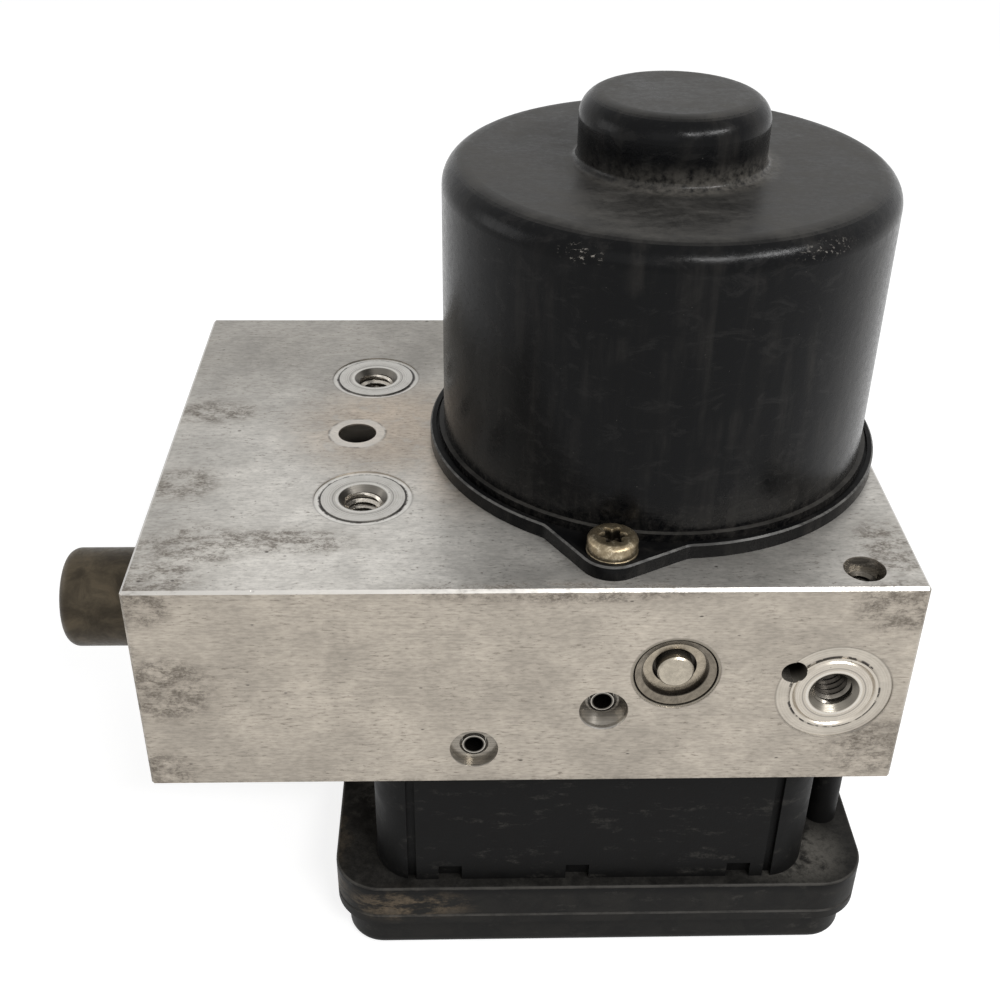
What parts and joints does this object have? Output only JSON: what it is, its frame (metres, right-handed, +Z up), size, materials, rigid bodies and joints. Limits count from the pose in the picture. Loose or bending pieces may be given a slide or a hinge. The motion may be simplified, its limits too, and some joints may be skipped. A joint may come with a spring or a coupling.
{
  "type": "anti-lock brake module",
  "caption": "Anti-lock brake hydraulic module: aluminium valve block with a round pump motor on top, a side damper, brake line ports, and a plastic control unit with a plug socket below.",
  "frame": {"origin": "on the pump motor's axis, in the plane of the control unit lid's underside", "axes": "+Z up along the motor axis, out of the block's top threads; -Y to the front face with the pump plug; -X towards the side damper"},
  "size_m": [0.1487, 0.1, 0.1524],
  "materials": {
    "block": "machined extruded aluminium with fine tool marks",
    "insert": "turned and zinc plated steel",
    "plug": "polished steel plug",
    "pump_steel": "ground steel",
    "pump_cylinder": "turned aluminium sleeve",
    "spring": "spring steel",
    "accumulator_piston": "anodised aluminium",
    "valve_brass": "turned brass",
    "valve_steel": "turned magnetic steel",
    "coil": "enamelled copper winding in resin",
    "can": "satin black coated steel, deep drawn",
    "plate": "satin black coated steel plate",
    "motor_screw": "yellow zinc plated screw, dulled",
    "seal": "moulded rubber",
    "bearing": "ground bearing steel",
    "shaft": "ground steel shaft",
    "bush": "sintered bronze",
    "core": "laminated electrical steel",
    "winding": "enamelled copper wire",
    "commutator": "turned copper",
    "magnet": "ferrite",
    "brush_plate": "phenolic moulding",
    "brush": "carbon and copper compound",
    "carrier": "nylon",
    "terminal": "tinned brass blade",
    "damper": "dark olive coated drawn steel",
    "cushion": "moulded rubber",
    "housing": "black glass filled nylon",
    "lid": "black glass filled nylon, welded on",
    "board": "fibreglass circuit board",
    "pin": "tinned brass pin",
    "housing_screw": "zinc plated screw"
  },
  "bodies": {
    "module": {"valve_block": "block", "top_insert_front": "insert", "top_insert_rear": "insert", "front_insert": "insert", "drilling_plug_low": "plug", "drilling_plug_high": "plug", "pump_plug_front": "plug", "pump_plug_rear": "plug", "pump_cylinder_front": "pump_cylinder", "pump_cylinder_rear": "pump_cylinder", "pump_spring_front": "spring", "pump_spring_rear": "spring", "accumulator_spring_1": "spring", "accumulator_spring_2": "spring", "accumulator_cap_1": "plug", "accumulator_cap_2": "plug", "valve_cartridges": "valve_steel", "valve_coils": "coil", "motor_can": "can", "motor_plate": "plate", "motor_seal": "seal", "motor_screws": "motor_screw", "lower_bearing": "bearing", "upper_bearing": "bearing", "tail_bush": "bush", "magnets": "magnet", "brush_plate": "brush_plate", "brush_spring_front": "spring", "brush_spring_rear": "spring", "terminal_carrier": "carrier", "motor_terminals": "terminal", "damper_can": "damper", "damper_cushion": "cushion", "control_housing": "housing", "control_lid": "lid", "lid_seal": "seal", "block_seal": "seal", "circuit_board": "board", "connector_pins": "pin", "housing_screws": "housing_screw"},
    "rotor": {"rotor_shaft": "shaft", "armature_core": "core", "armature_windings": "winding", "commutator": "commutator"},
    "eccentric_ring": {"eccentric_ring": "pump_steel"},
    "front_pump_piston": {"pump_piston_front": "pump_steel"},
    "rear_pump_piston": {"pump_piston_rear": "pump_steel"},
    "accumulator_piston_1": {"accumulator_piston_1": "accumulator_piston"},
    "accumulator_piston_2": {"accumulator_piston_2": "accumulator_piston"},
    "front_brush": {"brush_front": "brush"},
    "rear_brush": {"brush_rear": "brush"},
    "valve_plunger_1": {"valve_plunger_1": "valve_brass"},
    "valve_plunger_2": {"valve_plunger_2": "valve_brass"},
    "valve_plunger_3": {"valve_plunger_3": "valve_brass"},
    "valve_plunger_4": {"valve_plunger_4": "valve_brass"},
    "valve_plunger_5": {"valve_plunger_5": "valve_brass"},
    "valve_plunger_6": {"valve_plunger_6": "valve_brass"},
    "valve_plunger_7": {"valve_plunger_7": "valve_brass"},
    "valve_plunger_8": {"valve_plunger_8": "valve_brass"}
  },
  "joints": [
    {"name": "rotor_spin", "type": "hinge", "parent": "module", "child": "rotor", "pos_m": [0, 0, 0], "axis": [0, 0, 1], "continuous": true},
    {"name": "eccentric_ring_spin", "type": "hinge", "parent": "rotor", "child": "eccentric_ring", "pos_m": [0.001, 0, 0.0701], "axis": [0, 0, 1], "continuous": true},
    {"name": "front_pump_stroke", "type": "slide", "parent": "module", "child": "front_pump_piston", "axis": [0, -1, 0], "range_m": [0, 0.002], "stiffness_N_per_m": 400, "springref_m": -0.003, "deforming": ["pump_spring_front"]},
    {"name": "rear_pump_stroke", "type": "slide", "parent": "module", "child": "rear_pump_piston", "axis": [0, 1, 0], "range_m": [0, 0.002], "stiffness_N_per_m": 400, "springref_m": -0.003, "deforming": ["pump_spring_rear"]},
    {"name": "accumulator_stroke_1", "type": "slide", "parent": "module", "child": "accumulator_piston_1", "axis": [0, 0, -1], "range_m": [0, 0.0045], "stiffness_N_per_m": 400, "springref_m": -0.008, "deforming": ["accumulator_spring_1"]},
    {"name": "accumulator_stroke_2", "type": "slide", "parent": "module", "child": "accumulator_piston_2", "axis": [0, 0, -1], "range_m": [0, 0.0045], "stiffness_N_per_m": 400, "springref_m": -0.008, "deforming": ["accumulator_spring_2"]},
    {"name": "valve_lift_1", "type": "slide", "parent": "module", "child": "valve_plunger_1", "axis": [0, 0, 1], "range_m": [0, 0.0004], "stiffness_N_per_m": 200, "springref_m": -0.003},
    {"name": "valve_lift_2", "type": "slide", "parent": "module", "child": "valve_plunger_2", "axis": [0, 0, 1], "range_m": [0, 0.0004], "stiffness_N_per_m": 200, "springref_m": -0.003},
    {"name": "valve_lift_3", "type": "slide", "parent": "module", "child": "valve_plunger_3", "axis": [0, 0, 1], "range_m": [0, 0.0004], "stiffness_N_per_m": 200, "springref_m": -0.003},
    {"name": "valve_lift_4", "type": "slide", "parent": "module", "child": "valve_plunger_4", "axis": [0, 0, 1], "range_m": [0, 0.0004], "stiffness_N_per_m": 200, "springref_m": -0.003},
    {"name": "valve_lift_5", "type": "slide", "parent": "module", "child": "valve_plunger_5", "axis": [0, 0, 1], "range_m": [0, 0.0004], "stiffness_N_per_m": 200, "springref_m": -0.003},
    {"name": "valve_lift_6", "type": "slide", "parent": "module", "child": "valve_plunger_6", "axis": [0, 0, 1], "range_m": [0, 0.0004], "stiffness_N_per_m": 200, "springref_m": -0.003},
    {"name": "valve_lift_7", "type": "slide", "parent": "module", "child": "valve_plunger_7", "axis": [0, 0, 1], "range_m": [0, 0.0004], "stiffness_N_per_m": 200, "springref_m": -0.003},
    {"name": "valve_lift_8", "type": "slide", "parent": "module", "child": "valve_plunger_8", "axis": [0, 0, 1], "range_m": [0, 0.0004], "stiffness_N_per_m": 200, "springref_m": -0.003},
    {"name": "front_brush_slide", "type": "slide", "parent": "module", "child": "front_brush", "axis": [0, -1, 0], "range_m": [0, 0.0015], "stiffness_N_per_m": 100, "springref_m": -0.006, "deforming": ["brush_spring_front"]},
    {"name": "rear_brush_slide", "type": "slide", "parent": "module", "child": "rear_brush", "axis": [0, 1, 0], "range_m": [0, 0.0015], "stiffness_N_per_m": 100, "springref_m": -0.006, "deforming": ["brush_spring_rear"]}
  ]
}
